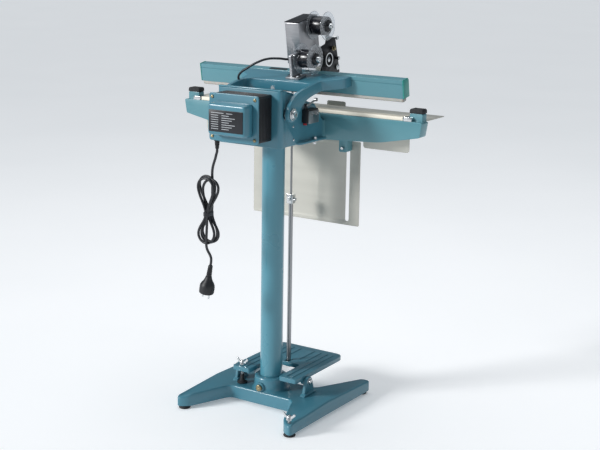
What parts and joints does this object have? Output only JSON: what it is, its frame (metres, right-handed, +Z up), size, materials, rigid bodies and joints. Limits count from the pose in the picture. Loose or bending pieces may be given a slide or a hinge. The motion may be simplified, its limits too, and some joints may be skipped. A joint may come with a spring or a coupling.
{
  "type": "impulse heat sealer",
  "caption": "Pedal-operated impulse heat sealer on a column stand: long sealing jaws, work table, hinged yoke with a ribbon date printer, pull rod and foot pedal.",
  "frame": {"origin": "on the floor, at the middle of the machine's width and depth, the mains lead left out", "axes": "+Z up, -Y towards the operator, X along the sealing jaws"},
  "size_m": [0.744, 0.4724, 1.0514],
  "materials": {
    "teal_enamel": "gloss enamel over cast and pressed metal",
    "green_enamel": "gloss enamel",
    "black_rubber": "matte",
    "cable_jacket": "satin vinyl",
    "black_plastic": "moulded",
    "anodised_plate": "black anodised",
    "ribbon_film": "coated film",
    "clear_spool": "clear moulded",
    "bright_steel": "bright plated",
    "plain_steel": "zinc plated",
    "brushed_aluminium": "brushed",
    "brass": "satin",
    "table_sheet": "satin sheet",
    "ptfe_cloth": "coated glass cloth",
    "silicone": "smooth",
    "label": "printed foil",
    "circuit_board": "resist coated"
  },
  "bodies": {
    "root": {"base_casting": "teal_enamel", "foot_back_left": "black_rubber", "foot_back_right": "black_rubber", "foot_front_left": "black_rubber", "foot_front_right": "black_rubber", "column_clamp_screw": "brass", "column_tube": "teal_enamel", "return_spring": "plain_steel", "head_frame": "teal_enamel", "head_cover": "teal_enamel", "pilot_lamp": "clear_spool", "hinge_shaft": "bright_steel", "transformer": "plain_steel", "lower_jaw_beam": "teal_enamel", "heating_band": "plain_steel", "ptfe_cover": "ptfe_cloth", "band_clamp_left": "bright_steel", "band_clamp_right": "bright_steel", "jaw_cap_left": "black_rubber", "jaw_cap_right": "black_rubber", "work_table": "table_sheet", "plate_bolt_left": "bright_steel", "plate_bolt_right": "bright_steel", "control_box": "black_plastic", "control_box_cover": "teal_enamel", "rating_plate": "label", "timer_board": "circuit_board", "cable_gland": "black_rubber", "microswitch": "black_plastic", "microswitch_bracket": "plain_steel", "mains_lead": "cable_jacket", "cord_hank": "cable_jacket", "cord_tail": "cable_jacket", "mains_plug": "black_plastic"},
    "yoke": {"yoke_casting": "teal_enamel", "upper_jaw_bar": "teal_enamel", "bar_end_left": "green_enamel", "bar_end_right": "green_enamel", "silicone_strip": "silicone", "printer_mount": "brushed_aluminium", "printer_housing": "brushed_aluminium", "printer_plate": "anodised_plate", "printer_cable": "cable_jacket"},
    "supply": {"supply_spool": "clear_spool", "supply_ribbon": "ribbon_film"},
    "takeup": {"takeup_spool": "clear_spool", "takeup_ribbon": "ribbon_film"},
    "roller": {"feed_roller": "black_rubber"},
    "type": {"type_head": "brass"},
    "pedal": {"pedal_plate": "teal_enamel", "rod_pin": "plain_steel"},
    "stop": {"stop_screw": "bright_steel"},
    "pull_rod": {"lower_pull_rod": "plain_steel", "rod_coupler": "plain_steel", "upper_pull_rod": "plain_steel"},
    "switch_lever": {"microswitch_lever": "plain_steel"},
    "knob": {"timer_knob": "black_plastic"},
    "rocker": {"power_switch": "black_plastic"},
    "leveler": {"leveling_screw": "bright_steel"},
    "bag_plate": {"hanging_plate": "table_sheet"}
  },
  "joints": [
    {"name": "yoke_hinge", "type": "hinge", "parent": "root", "child": "yoke", "pos_m": [0, 0.10888, 0.811], "axis": [1, 0, 0], "range_deg": [0, 9.6], "stiffness_Nm_per_rad": 60, "springref_deg": -34.38, "deforming": ["return_spring"]},
    {"name": "pedal_hinge", "type": "hinge", "parent": "root", "child": "pedal", "pos_m": [0, 0.00889, 0.08], "axis": [1, 0, 0], "range_deg": [0, 23.3]},
    {"name": "rod_swing", "type": "hinge", "parent": "pedal", "child": "pull_rod", "pos_m": [0, -0.06611, 0.085], "axis": [1, 0, 0], "range_deg": [-22.5, 0]},
    {"name": "switch_lever_pivot", "type": "hinge", "parent": "root", "child": "switch_lever", "pos_m": [-0.1, 0.02889, 0.823], "axis": [1, 0, 0], "range_deg": [0, 12.6]},
    {"name": "supply_spin", "type": "hinge", "parent": "yoke", "child": "supply", "pos_m": [-0.06, -0.10007, 1.0147], "axis": [1, 0, 0], "continuous": true},
    {"name": "takeup_spin", "type": "hinge", "parent": "yoke", "child": "takeup", "pos_m": [-0.06, -0.04075, 0.93367], "axis": [1, 0, 0], "continuous": true},
    {"name": "roller_spin", "type": "hinge", "parent": "yoke", "child": "roller", "pos_m": [-0.05, -0.15323, 0.92227], "axis": [1, 0, 0], "continuous": true},
    {"name": "type_slide", "type": "slide", "parent": "yoke", "child": "type", "axis": [0, -0.1668, -0.986], "range_m": [0, 0.006], "stiffness_N_per_m": 1500, "springref_m": -0.008},
    {"name": "stop_screw_turn", "type": "hinge", "parent": "pedal", "child": "stop", "pos_m": [0.083, 0.03889, 0.096], "axis": [0, 0, 1], "continuous": true},
    {"name": "leveling_screw_turn", "type": "hinge", "parent": "root", "child": "leveler", "pos_m": [-0.168, 0.19088, 0.05], "axis": [0, 0, 1], "continuous": true},
    {"name": "timer_knob_turn", "type": "hinge", "parent": "root", "child": "knob", "pos_m": [0.1, 0.04088, 0.788], "axis": [1, 0, 0], "range_deg": [0, 300]},
    {"name": "power_switch_rock", "type": "hinge", "parent": "root", "child": "rocker", "pos_m": [0.091, -0.01711, 0.788], "axis": [0, 1, 0], "range_deg": [0, 14]},
    {"name": "bag_plate_slide", "type": "slide", "parent": "root", "child": "bag_plate", "axis": [0, 0, 1], "range_m": [0, 0.07]}
  ],
  "couplings": [
    {"joint": "pedal_hinge", "follows": "yoke_hinge", "ratio": 2.4167},
    {"joint": "rod_swing", "follows": "yoke_hinge", "ratio": -2.33},
    {"joint": "switch_lever_pivot", "follows": "yoke_hinge", "ratio": 1.3},
    {"joint": "takeup_spin", "follows": "supply_spin", "ratio": 1},
    {"joint": "roller_spin", "follows": "supply_spin", "ratio": 1.2}
  ]
}
